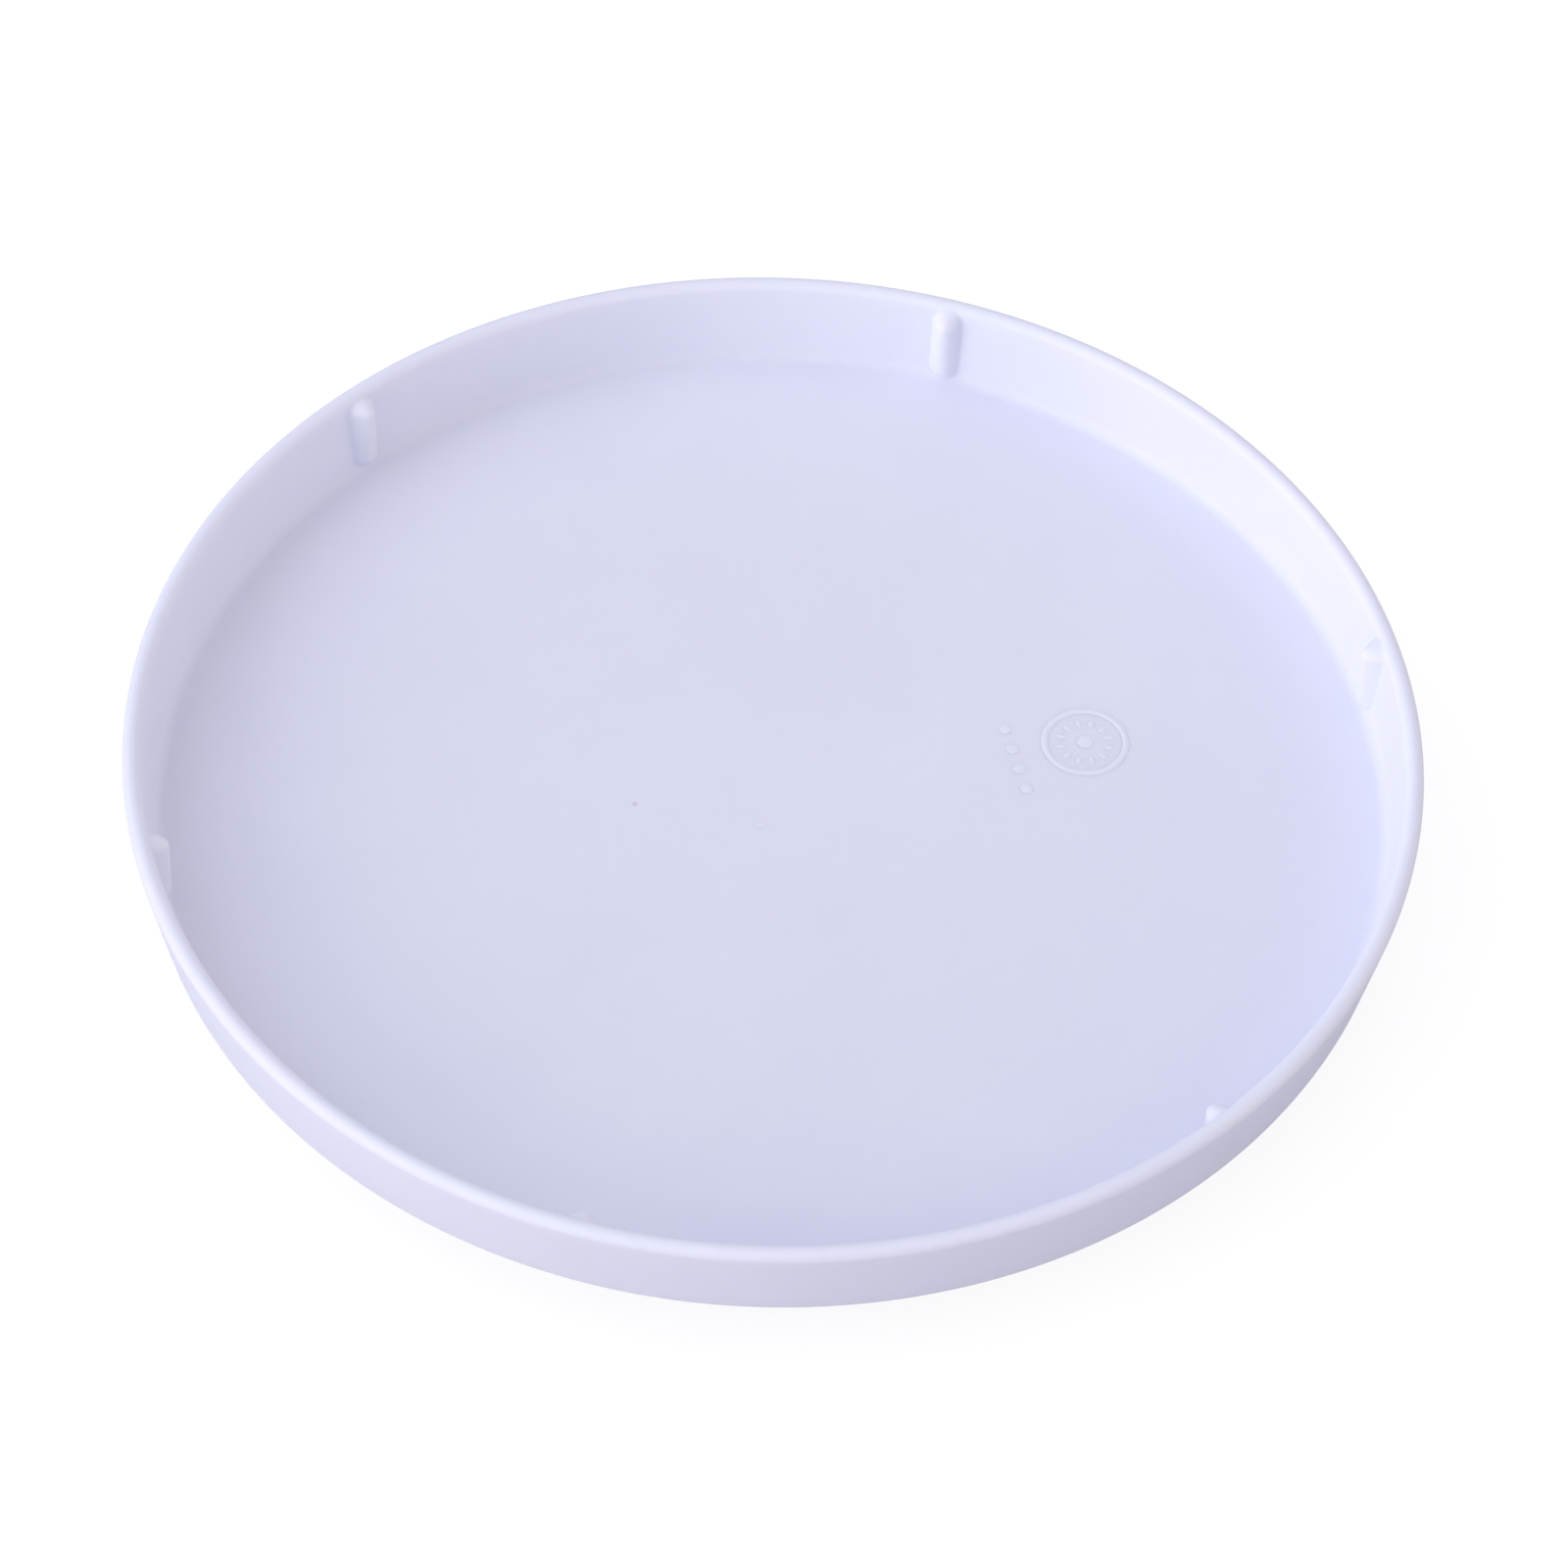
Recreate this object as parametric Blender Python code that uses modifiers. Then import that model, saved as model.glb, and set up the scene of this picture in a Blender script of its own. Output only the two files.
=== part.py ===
"""Lazy susan turntable, 200 mm across: a shallow tray that turns on a ring of steel balls.

The tray's journal turns in a bush in the base's hub, and its weight runs on twelve balls in a cage,
between a race on the base and a race under the tray. A screw and a washer keep the tray on.
The Z axis is the axis of turning. The origin is at its foot, on the surface the feet stand on.
All sizes are in metres.
"""
import math

import bmesh
import bpy
from mathutils import Matrix, Vector

MM = 0.001
GAP = 0.3 * MM                  # between two pieces that touch
RUNNING_GAP = 0.1 * MM          # radial, between the journal and its bush
RACE_GAP = 0.2 * MM             # between a ball and each race

# Ball bearing
BALL_COUNT = 12
BALL_R = 3.0 * MM
BALL_CIRCLE_R = 50.0 * MM
BALL_Z = 7.35 * MM
POCKET_GAP = 0.3 * MM           # between a ball and its pocket in the cage
RACE_HALF_WIDTH = 5.0 * MM
RACE_EDGE = 1.95 * MM           # from the ball's centre to the flat edge of each race
CAGE_HALF_WIDTH = 6.0 * MM
CAGE_HALF_HEIGHT = 1.65 * MM

# Tray
TRAY_R = 100.0 * MM             # widest, at the rim
TRAY_WALL_FOOT_R = 97.1 * MM    # outside of the wall, at its foot
TRAY_UNDER_Z = 13.0 * MM
TRAY_FLOOR_Z = 15.0 * MM
TRAY_TOP_Z = 30.0 * MM
RIM_R = 1.42 * MM               # rounding of the rim
WALL_INNER_FOOT_R = 95.82 * MM
FLOOR_FILLET_R = 2.2 * MM
FOOT_EDGE_R = 1.6 * MM
RIB_COUNT = 6
RIB_FIRST_ANGLE = math.radians(15.0)
RIB_HALF_WIDTH = 2.35 * MM
RIB_FRONT_R = 94.25 * MM        # the upright front of a rib; the wall behind it leans outwards
RIB_SUNK = 0.5 * MM             # how far it is merged into the wall
RIB_TOP_DROP = 0.5 * MM         # from the rim's top down to the rib's
RIB_FOOT_RISE = 0.6 * MM        # from the floor up to the rib's lower end

# Journal and hub
JOURNAL_R = 7.0 * MM
JOURNAL_FOOT_Z = 5.7 * MM
BOSS_SHOULDER_Z = 12.0 * MM
SCREW_HOLE_TOP_Z = 13.2 * MM
BUSH_WALL = 1.5 * MM
BUSH_FLANGE_R = 10.6 * MM
BUSH_FLANGE_T = 1.0 * MM
HUB_TOP_Z = 11.5 * MM
HUB_STEP_Z = 9.0 * MM
HUB_NECK_R = 11.0 * MM
HUB_R = 13.5 * MM
RECESS_R = 11.5 * MM
WASHER_R = 9.8 * MM
WASHER_T = 1.0 * MM
SCREW_R = 1.9 * MM
SCREW_HEAD_R = 3.7 * MM
SCREW_HEAD_H = 1.6 * MM
CAP_T = 1.0 * MM
CAP_SKIRT_H = 1.0 * MM

# Base
BASE_R = 70.0 * MM
BASE_FOOT_R = 69.4 * MM
BASE_UNDER_Z = 1.2 * MM
BASE_FLOOR_Z = 3.6 * MM
SKIRT_TOP_Z = 11.0 * MM
SKIRT_T = 2.1 * MM
BASE_EDGE_R = 1.2 * MM
WEB_COUNT = 6
WEB_T = 1.6 * MM
WEB_TOP_Z = 5.0 * MM

# Feet
FOOT_COUNT = 6
FOOT_CIRCLE_R = 61.5 * MM
FOOT_R = 5.0 * MM
FOOT_TOP_Z = 1.9 * MM
FOOT_CHAMFER = 0.4 * MM

# Facets
TRAY_STEPS = 72
BASE_STEPS = 60
CAGE_STEPS = 60
HUB_STEPS = 48
SMALL_STEPS = 20

PLASTIC = (0.74, 0.75, 0.87)


def clear_scene():
    """Remove every object, so that the model is alone in the file."""
    for old in list(bpy.data.objects):
        bpy.data.objects.remove(old, do_unlink=True)


def new_collection(name):
    """Make a collection in the scene."""
    collection = bpy.data.collections.new(name)
    bpy.context.scene.collection.children.link(collection)
    return collection


def new_material(name, colour, roughness, metallic=0.0):
    """Make a plain Principled material."""
    material = bpy.data.materials.new(name)
    material.use_nodes = True
    shader = material.node_tree.nodes["Principled BSDF"]
    shader.inputs["Base Color"].default_value = (*colour, 1.0)
    shader.inputs["Roughness"].default_value = roughness
    shader.inputs["Metallic"].default_value = metallic
    material.diffuse_color = (*colour, 1.0)
    return material


def arc(centre, radius, start, end, steps):
    """Points of an arc in the profile plane, as (radius, height), from start to end in degrees."""
    points = []
    for step in range(steps + 1):
        angle = math.radians(start + (end - start) * step / steps)
        points.append((centre[0] + radius * math.cos(angle), centre[1] + radius * math.sin(angle)))
    return points


def turned(name, profile, steps, closed, material):
    """A turned piece: a profile of (radius, height) points, swept round Z by a Screw modifier.

    The profile runs down the outer side of the piece. A closed one has a hole along the axis.
    """
    mesh = bpy.data.meshes.new(name)
    vertices = [(radius, 0.0, height) for radius, height in profile]
    edges = [(index, index + 1) for index in range(len(profile) - 1)]
    if closed:
        edges.append((len(profile) - 1, 0))
    mesh.from_pydata(vertices, edges, [])
    piece = bpy.data.objects.new(name, mesh)
    part.objects.link(piece)
    screw = piece.modifiers.new("Turn", "SCREW")
    screw.axis = "Z"
    screw.angle = math.tau
    screw.steps = steps
    screw.render_steps = steps
    screw.use_merge_vertices = True
    screw.merge_threshold = 0.00001
    screw.use_smooth_shade = True
    mesh.materials.append(material)
    return piece


def solid(name, bm, material, collection):
    """Turn a bmesh into an object."""
    mesh = bpy.data.meshes.new(name)
    bm.to_mesh(mesh)
    bm.free()
    if material:
        mesh.materials.append(material)
    piece = bpy.data.objects.new(name, mesh)
    collection.objects.link(piece)
    return piece


def as_cutter(tool):
    """Mark an object as a tool that shapes another one."""
    tool.hide_render = True
    tool.display_type = "WIRE"
    return tool


def combine(piece, tool, operation):
    """Cut a tool out of a piece, or merge it in."""
    modifier = piece.modifiers.new(tool.name, "BOOLEAN")
    modifier.operation = operation
    modifier.solver = "EXACT"
    modifier.object = tool


def around(count, first_angle=0.0):
    """Angles that divide the circle evenly."""
    return [first_angle + math.tau * index / count for index in range(count)]


def on_circle(radius, angle, height):
    """A point on a circle about Z."""
    return Vector((radius * math.cos(angle), radius * math.sin(angle), height))


def race_groove(side):
    """The groove of a race, from its outer edge to its inner one.

    It wraps the ball: side is -1 below the ball and 1 above it.
    """
    radius = BALL_R + RACE_GAP
    reach = side * math.degrees(math.acos(RACE_EDGE / radius))
    middle = 90.0 * side
    return arc((BALL_CIRCLE_R, BALL_Z), radius, middle - reach, middle + reach, 4)


def wall_radius(height):
    """Radius of the inside of the tray's wall, which leans out by its draft angle."""
    top_r = TRAY_R - 2.0 * RIM_R
    rise = (height - TRAY_FLOOR_Z) / (TRAY_TOP_Z - RIM_R - TRAY_FLOOR_Z)
    return WALL_INNER_FOOT_R + (top_r - WALL_INNER_FOOT_R) * rise


def make_tray():
    """The tray: floor, wall and rim, with the upper race and the journal on its underside."""
    fillet_z = TRAY_FLOOR_Z + FLOOR_FILLET_R
    fillet_centre = (wall_radius(fillet_z) - FLOOR_FILLET_R, fillet_z)
    rim_centre = (TRAY_R - RIM_R, TRAY_TOP_Z - RIM_R)
    edge_centre = (TRAY_WALL_FOOT_R - FOOT_EDGE_R, TRAY_UNDER_Z + FOOT_EDGE_R)
    race_z = BALL_Z + RACE_EDGE
    hole_r = SCREW_R + GAP
    profile = [(0.0, TRAY_FLOOR_Z)]
    profile += arc(fillet_centre, FLOOR_FILLET_R, -90.0, 0.0, 3)
    profile += arc(rim_centre, RIM_R, 180.0, 0.0, 6)
    profile += arc(edge_centre, FOOT_EDGE_R, 0.0, -90.0, 2)
    profile += [
        (BALL_CIRCLE_R + RACE_HALF_WIDTH, TRAY_UNDER_Z),
        (BALL_CIRCLE_R + RACE_HALF_WIDTH, race_z),
    ]
    profile += race_groove(1)
    profile += [
        (BALL_CIRCLE_R - RACE_HALF_WIDTH, race_z),
        (BALL_CIRCLE_R - RACE_HALF_WIDTH, TRAY_UNDER_Z),
        (JOURNAL_R + 2.5 * MM, TRAY_UNDER_Z),
        (JOURNAL_R + 2.0 * MM, BOSS_SHOULDER_Z),
        (JOURNAL_R, BOSS_SHOULDER_Z),
        (JOURNAL_R, JOURNAL_FOOT_Z + 0.4 * MM),
        (JOURNAL_R - 0.4 * MM, JOURNAL_FOOT_Z),
        (hole_r, JOURNAL_FOOT_Z),
        (hole_r, SCREW_HOLE_TOP_Z),
        (0.0, SCREW_HOLE_TOP_Z),
    ]
    tray = turned("tray", profile, TRAY_STEPS, False, plastic)
    for index, angle in enumerate(around(RIB_COUNT, RIB_FIRST_ANGLE)):
        combine(tray, make_rib(index, angle), "UNION")
    return tray


def make_rib(index, angle):
    """One rib inside the rim: a capsule with an upright front and a back that merges into the wall."""
    low_z = TRAY_FLOOR_Z + RIB_FOOT_RISE
    high_z = TRAY_TOP_Z - RIB_TOP_DROP
    length = high_z - low_z - 2.0 * RIB_HALF_WIDTH
    middle_z = (low_z + high_z) / 2.0
    bm = bmesh.new()
    bmesh.ops.create_uvsphere(bm, u_segments=12, v_segments=5, radius=RIB_HALF_WIDTH)
    for vertex in bm.verts:
        vertex.co.z += math.copysign(length / 2.0, vertex.co.z)
    cut = bmesh.ops.bisect_plane(
        bm,
        geom=bm.verts[:] + bm.edges[:] + bm.faces[:],
        plane_co=(RIB_SUNK, 0.0, 0.0),
        plane_no=(1.0, 0.0, 0.0),
        clear_outer=True,
    )
    rim_edges = [item for item in cut["geom_cut"] if isinstance(item, bmesh.types.BMEdge)]
    bmesh.ops.contextual_create(bm, geom=rim_edges)
    for vertex in bm.verts:
        wall_r = wall_radius(middle_z + vertex.co.z)
        if vertex.co.x < 0.0:
            vertex.co.x *= (wall_r - RIB_FRONT_R) / RIB_HALF_WIDTH
        vertex.co.x += wall_r
        vertex.co.z += middle_z
    bm.transform(Matrix.Rotation(angle, 4, "Z"))
    return as_cutter(solid(f"rib_{index + 1}", bm, None, tools))


def make_base():
    """The base: a dish with the lower race, the hub, stiffening webs and pockets for the feet."""
    race_z = BALL_Z - RACE_EDGE
    bore_r = JOURNAL_R + RUNNING_GAP + BUSH_WALL + GAP
    shoulder_z = JOURNAL_FOOT_Z + BUSH_FLANGE_T + GAP
    edge_centre = (BASE_FOOT_R - BASE_EDGE_R, BASE_UNDER_Z + BASE_EDGE_R)
    profile = [
        (BASE_R - 0.5 * MM, SKIRT_TOP_Z),
        (BASE_R, SKIRT_TOP_Z - 0.5 * MM),
    ]
    profile += arc(edge_centre, BASE_EDGE_R, 0.0, -90.0, 3)
    profile += [
        (RECESS_R, BASE_UNDER_Z),
        (RECESS_R, shoulder_z),
        (bore_r, shoulder_z),
        (bore_r, HUB_TOP_Z),
        (HUB_NECK_R - 0.3 * MM, HUB_TOP_Z),
        (HUB_NECK_R, HUB_TOP_Z - 0.3 * MM),
        (HUB_NECK_R, HUB_STEP_Z),
        (HUB_R, HUB_STEP_Z),
        (HUB_R, BASE_FLOOR_Z),
        (BALL_CIRCLE_R - RACE_HALF_WIDTH, BASE_FLOOR_Z),
        (BALL_CIRCLE_R - RACE_HALF_WIDTH, race_z),
    ]
    profile += race_groove(-1)[::-1]
    profile += [
        (BALL_CIRCLE_R + RACE_HALF_WIDTH, race_z),
        (BALL_CIRCLE_R + RACE_HALF_WIDTH, BASE_FLOOR_Z),
        (BASE_FOOT_R - SKIRT_T, BASE_FLOOR_Z),
        (BASE_R - SKIRT_T, SKIRT_TOP_Z - 0.3 * MM),
        (BASE_R - SKIRT_T + 0.3 * MM, SKIRT_TOP_Z),
    ]
    base = turned("base", profile, BASE_STEPS, True, plastic)
    inner = (HUB_R - 0.5 * MM, BALL_CIRCLE_R - RACE_HALF_WIDTH + 0.5 * MM)
    outer = (BALL_CIRCLE_R + RACE_HALF_WIDTH - 0.5 * MM, BASE_FOOT_R - SKIRT_T + 0.5 * MM)
    for index, angle in enumerate(around(WEB_COUNT)):
        combine(base, make_web(f"inner_web_{index + 1}", angle, *inner), "UNION")
        combine(base, make_web(f"outer_web_{index + 1}", angle, *outer), "UNION")
    for index, angle in enumerate(foot_angles()):
        combine(base, make_foot_pocket(index, angle), "DIFFERENCE")
    return base


def make_web(name, angle, start_r, end_r):
    """One stiffening web on the base's floor, from one wall to the next."""
    low_z = BASE_FLOOR_Z - 0.5 * MM
    bm = bmesh.new()
    bmesh.ops.create_cube(bm, size=1.0)
    bm.transform(Matrix.Diagonal((end_r - start_r, WEB_T, WEB_TOP_Z - low_z, 1.0)))
    middle = Matrix.Translation(((start_r + end_r) / 2.0, 0.0, (low_z + WEB_TOP_Z) / 2.0))
    bm.transform(Matrix.Rotation(angle, 4, "Z") @ middle)
    return as_cutter(solid(name, bm, None, tools))


def foot_angles():
    """The feet stand half-way between the webs."""
    return around(FOOT_COUNT, math.pi / FOOT_COUNT)


def make_foot_pocket(index, angle):
    """The pocket under the base that holds a foot."""
    top_z = FOOT_TOP_Z + GAP
    low_z = BASE_UNDER_Z - 1.0 * MM
    bm = bmesh.new()
    bmesh.ops.create_cone(
        bm,
        cap_ends=True,
        segments=SMALL_STEPS,
        radius1=FOOT_R + GAP,
        radius2=FOOT_R + GAP,
        depth=top_z - low_z,
    )
    bm.transform(Matrix.Translation(on_circle(FOOT_CIRCLE_R, angle, (low_z + top_z) / 2.0)))
    return as_cutter(solid(f"foot_pocket_{index + 1}", bm, None, tools))


def make_feet():
    """The rubber feet: low buttons with a chamfered edge."""
    profile = [
        (0.0, FOOT_TOP_Z),
        (FOOT_R, FOOT_TOP_Z),
        (FOOT_R, FOOT_CHAMFER),
        (FOOT_R - FOOT_CHAMFER, 0.0),
        (0.0, 0.0),
    ]
    for index, angle in enumerate(foot_angles()):
        foot = turned(f"foot_{index + 1}", profile, SMALL_STEPS, False, rubber)
        foot.location = on_circle(FOOT_CIRCLE_R, angle, 0.0)


def make_cage():
    """The cage: a flat ring with a round pocket for each ball, which it holds above and below."""
    inner_r = BALL_CIRCLE_R - CAGE_HALF_WIDTH
    outer_r = BALL_CIRCLE_R + CAGE_HALF_WIDTH
    profile = [
        (outer_r, BALL_Z + CAGE_HALF_HEIGHT),
        (outer_r, BALL_Z - CAGE_HALF_HEIGHT),
        (inner_r, BALL_Z - CAGE_HALF_HEIGHT),
        (inner_r, BALL_Z + CAGE_HALF_HEIGHT),
    ]
    cage = turned("ball_cage", profile, CAGE_STEPS, True, acetal)
    for index, angle in enumerate(around(BALL_COUNT)):
        bm = bmesh.new()
        bmesh.ops.create_uvsphere(bm, u_segments=12, v_segments=10, radius=BALL_R + POCKET_GAP)
        bm.transform(Matrix.Rotation(angle, 4, "Z"))
        bm.transform(Matrix.Translation(on_circle(BALL_CIRCLE_R, angle, BALL_Z)))
        tool = as_cutter(solid(f"ball_pocket_{index + 1}", bm, None, tools))
        combine(cage, tool, "DIFFERENCE")
    return cage


def make_balls(cage):
    """The balls, each turned so that its poles lie on the radius it rolls about."""
    bm = bmesh.new()
    bmesh.ops.create_uvsphere(bm, u_segments=12, v_segments=6, radius=BALL_R)
    bm.transform(Matrix.Rotation(math.pi / 2.0, 4, "Y"))
    mesh = bpy.data.meshes.new("ball")
    bm.to_mesh(mesh)
    bm.free()
    mesh.shade_smooth()
    mesh.materials.append(steel)
    for index, angle in enumerate(around(BALL_COUNT)):
        ball = bpy.data.objects.new(f"ball_{index + 1:02d}", mesh)
        part.objects.link(ball)
        ball.location = on_circle(BALL_CIRCLE_R, angle, BALL_Z)
        ball.rotation_euler = (0.0, 0.0, angle)
        ball.parent = cage


def make_bush():
    """The flanged bush in the base's hub, in which the journal turns."""
    bore_r = JOURNAL_R + RUNNING_GAP
    body_r = bore_r + BUSH_WALL
    flange_top_z = JOURNAL_FOOT_Z + BUSH_FLANGE_T
    profile = [
        (body_r, HUB_TOP_Z),
        (body_r, flange_top_z),
        (BUSH_FLANGE_R, flange_top_z),
        (BUSH_FLANGE_R, JOURNAL_FOOT_Z),
        (bore_r, JOURNAL_FOOT_Z),
        (bore_r, HUB_TOP_Z),
    ]
    return turned("pivot_bush", profile, HUB_STEPS, True, acetal)


def make_washer():
    """The washer under the journal, wider than the bush's bore, so that the tray can't lift off."""
    top_z = JOURNAL_FOOT_Z - GAP
    hole_r = SCREW_R + GAP
    profile = [
        (WASHER_R, top_z),
        (WASHER_R, top_z - WASHER_T),
        (hole_r, top_z - WASHER_T),
        (hole_r, top_z),
    ]
    return turned("retaining_washer", profile, HUB_STEPS, True, steel)


def make_screw():
    """The pan-head screw, up through the washer into the journal, with a cross recess."""
    head_top_z = JOURNAL_FOOT_Z - GAP - WASHER_T - GAP
    head_low_z = head_top_z - SCREW_HEAD_H
    tip_z = SCREW_HOLE_TOP_Z - GAP
    profile = [
        (0.0, tip_z),
        (0.6 * MM, tip_z),
        (SCREW_R, tip_z - 1.6 * MM),
        (SCREW_R, head_top_z),
        (SCREW_HEAD_R, head_top_z),
        (SCREW_HEAD_R, head_low_z + 0.7 * MM),
        (SCREW_HEAD_R - 0.3 * MM, head_low_z + 0.2 * MM),
        (SCREW_HEAD_R - 0.9 * MM, head_low_z),
        (0.0, head_low_z),
    ]
    screw = turned("pivot_screw", profile, SMALL_STEPS, False, steel)
    for index, angle in enumerate((0.0, math.pi / 2.0)):
        bm = bmesh.new()
        bmesh.ops.create_cube(bm, size=1.0)
        bm.transform(Matrix.Diagonal((4.0 * MM, 0.8 * MM, 2.0 * MM, 1.0)))
        bm.transform(Matrix.Translation((0.0, 0.0, head_low_z)))
        bm.transform(Matrix.Rotation(angle, 4, "Z"))
        tool = as_cutter(solid(f"screw_slot_{index + 1}", bm, None, tools))
        combine(screw, tool, "DIFFERENCE")
    return screw


def make_cap():
    """The cap that closes the recess under the hub: a disc with a skirt."""
    cap_r = RECESS_R - GAP
    low_z = BASE_UNDER_Z + 0.1 * MM
    disc_z = low_z + CAP_T
    skirt_z = disc_z + CAP_SKIRT_H
    profile = [
        (0.0, disc_z),
        (cap_r - 1.0 * MM, disc_z),
        (cap_r - 1.0 * MM, skirt_z),
        (cap_r - 0.3 * MM, skirt_z),
        (cap_r, skirt_z - 0.4 * MM),
        (cap_r, low_z + 0.2 * MM),
        (cap_r - 0.2 * MM, low_z),
        (0.0, low_z),
    ]
    return turned("hub_cap", profile, HUB_STEPS, False, plastic)


clear_scene()
part = new_collection("lazy_susan_turntable")
tools = new_collection("turntable_cutters")
plastic = new_material("white_plastic", PLASTIC, 0.42)
acetal = new_material("acetal", (0.82, 0.81, 0.76), 0.35)
steel = new_material("steel", (0.62, 0.62, 0.64), 0.22, 1.0)
rubber = new_material("rubber", (0.16, 0.16, 0.17), 0.75)
make_tray()
make_base()
make_feet()
make_balls(make_cage())
make_bush()
make_washer()
make_screw()
make_cap()
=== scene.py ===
"""Looks of the lazy susan turntable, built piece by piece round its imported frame. Metres, +Z up."""
import math

import bmesh
import bpy
from mathutils import Matrix, Quaternion, Vector


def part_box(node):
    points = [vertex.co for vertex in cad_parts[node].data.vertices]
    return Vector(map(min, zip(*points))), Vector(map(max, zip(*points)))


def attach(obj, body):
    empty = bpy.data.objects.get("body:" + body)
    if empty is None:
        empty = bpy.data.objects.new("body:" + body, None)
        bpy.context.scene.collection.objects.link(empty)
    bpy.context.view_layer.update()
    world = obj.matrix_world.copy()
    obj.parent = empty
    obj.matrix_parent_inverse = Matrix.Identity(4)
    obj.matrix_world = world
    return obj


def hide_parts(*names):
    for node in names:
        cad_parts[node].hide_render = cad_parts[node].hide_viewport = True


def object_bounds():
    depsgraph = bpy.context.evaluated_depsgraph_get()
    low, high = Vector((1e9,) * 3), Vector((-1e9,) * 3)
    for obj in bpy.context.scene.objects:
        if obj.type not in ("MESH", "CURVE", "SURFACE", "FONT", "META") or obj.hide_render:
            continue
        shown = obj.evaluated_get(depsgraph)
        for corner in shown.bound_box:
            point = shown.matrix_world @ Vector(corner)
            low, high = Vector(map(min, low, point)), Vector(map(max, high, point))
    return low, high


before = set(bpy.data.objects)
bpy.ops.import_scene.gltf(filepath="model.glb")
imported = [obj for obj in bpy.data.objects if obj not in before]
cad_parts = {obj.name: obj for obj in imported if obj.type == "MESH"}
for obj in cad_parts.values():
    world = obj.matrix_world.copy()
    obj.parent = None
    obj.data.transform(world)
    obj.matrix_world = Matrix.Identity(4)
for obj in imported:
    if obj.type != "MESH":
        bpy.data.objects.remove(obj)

cad_low, cad_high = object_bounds()


# ---- Feet ------------------------------------------------------------------------------------------
# Six buttons of grey thermoplastic rubber, moulded and glued into pockets under the base.
# The mould leaves a fine matt texture and two grip rings on the face that meets the table.

MM = 0.001
ON_AXIS = 0.0001 * MM
FOOT_COLOUR = (0.105, 0.105, 0.112, 1.0)
FOOT_DUST = (0.16, 0.158, 0.155, 1.0)
FOOT_COUNT = 6
GRIP_DEPTH = 0.22 * MM


class Signal:
    """A socket of a finish; sums written with it add Math nodes."""

    def __init__(self, finish, socket):
        self.finish = finish
        self.socket = socket

    def join(self, operation, *terms):
        values = dict(enumerate(terms))
        return self.finish.node("Math", {"operation": operation}, values)

    def __add__(self, other):
        return self.join("ADD", self, other)

    __radd__ = __add__

    def __sub__(self, other):
        return self.join("SUBTRACT", self, other)

    def __rsub__(self, other):
        return self.join("SUBTRACT", other, self)

    def __mul__(self, other):
        return self.join("MULTIPLY", self, other)

    __rmul__ = __mul__

    def ramp(self, low, high):
        """0 below low, 1 above high, and a smooth rise between them; low may be the larger."""
        limits = {"Value": self, "From Min": low, "From Max": high}
        return self.finish.node("MapRange", {"interpolation_type": "SMOOTHSTEP"}, limits)


class Finish:
    """The material of a piece: constants on the shader's sockets, and nodes for what varies."""

    def __init__(self, name, **constants):
        self.material = bpy.data.materials.new(name)
        self.material.use_nodes = True
        self.tree = self.material.node_tree
        self.shader = self.tree.nodes["Principled BSDF"]
        for socket, value in constants.items():
            self.shader.inputs[socket.replace("_", " ")].default_value = value

    def node(self, kind, settings=None, values=None, output=0):
        """Any node: its type, then its settings, then values or links for its sockets."""
        made = self.tree.nodes.new("ShaderNode" + kind)
        for name, value in (settings or {}).items():
            setattr(made, name, value)
        for name, value in (values or {}).items():
            self.feed(made.inputs[name], value)
        return Signal(self, made.outputs[output])

    def feed(self, socket, value):
        if isinstance(value, Signal):
            self.tree.links.new(value.socket, socket)
        else:
            socket.default_value = value

    def set(self, name, value):
        self.feed(self.shader.inputs[name], value)

    def place(self):
        """Where a point is on the piece, in metres."""
        return self.node("TexCoord", output="Object")

    def noise(self, scale, detail=2.0, roughness=0.5, stretch=(1.0, 1.0, 1.0)):
        """Even noise with about this many lumps to the metre."""
        where = self.node("VectorMath", {"operation": "MULTIPLY"}, {0: self.place(), 1: stretch})
        values = {"Vector": where, "Scale": scale, "Detail": detail, "Roughness": roughness}
        return self.node("TexNoise", {}, values)

    def distance(self, point):
        """How far a place on the piece is from a point, in metres."""
        ends = {0: self.place(), 1: point}
        return self.node("VectorMath", {"operation": "DISTANCE"}, ends, output="Value")

    def tint(self, mask, first, second):
        """A colour that goes from first to second as mask goes from 0 to 1."""
        values = {"Factor": mask, 6: first, 7: second}
        return self.node("Mix", {"data_type": "RGBA"}, values, output=2)

    def bump(self, height, depth):
        """Relief of this depth in metres where height goes from 0 to 1."""
        values = {"Height": height, "Distance": depth, "Strength": 1.0}
        self.set("Normal", self.node("Bump", {}, values))


def rounded(corners, closed=False, steps=6, hold=0.12 * MM):
    """An outline of points from (radius, height) corners.

    A corner with a third value is rounded to that radius, with a point just before and after the
    arc, so that the flat beside it stays flat in the light.
    """
    outline = []
    for index, corner in enumerate(corners):
        here = Vector(corner[:2])
        end_corner = not closed and index in (0, len(corners) - 1)
        if len(corner) == 2 or end_corner:
            outline.append(here)
            continue
        before = (Vector(corners[index - 1][:2]) - here).normalized()
        after = (Vector(corners[(index + 1) % len(corners)][:2]) - here).normalized()
        half = before.angle(after) / 2.0
        reach = corner[2] / math.tan(half)
        centre = here + (before + after).normalized() * corner[2] / math.sin(half)
        first = here + before * reach - centre
        last = here + after * reach - centre
        sweep = math.atan2(first.x * last.y - first.y * last.x, first.dot(last))
        outline.append(centre + first + before * hold)
        for step in range(steps + 1):
            outline.append(centre + Matrix.Rotation(sweep * step / steps, 2) @ first)
        outline.append(centre + last + after * hold)
    return outline


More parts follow.
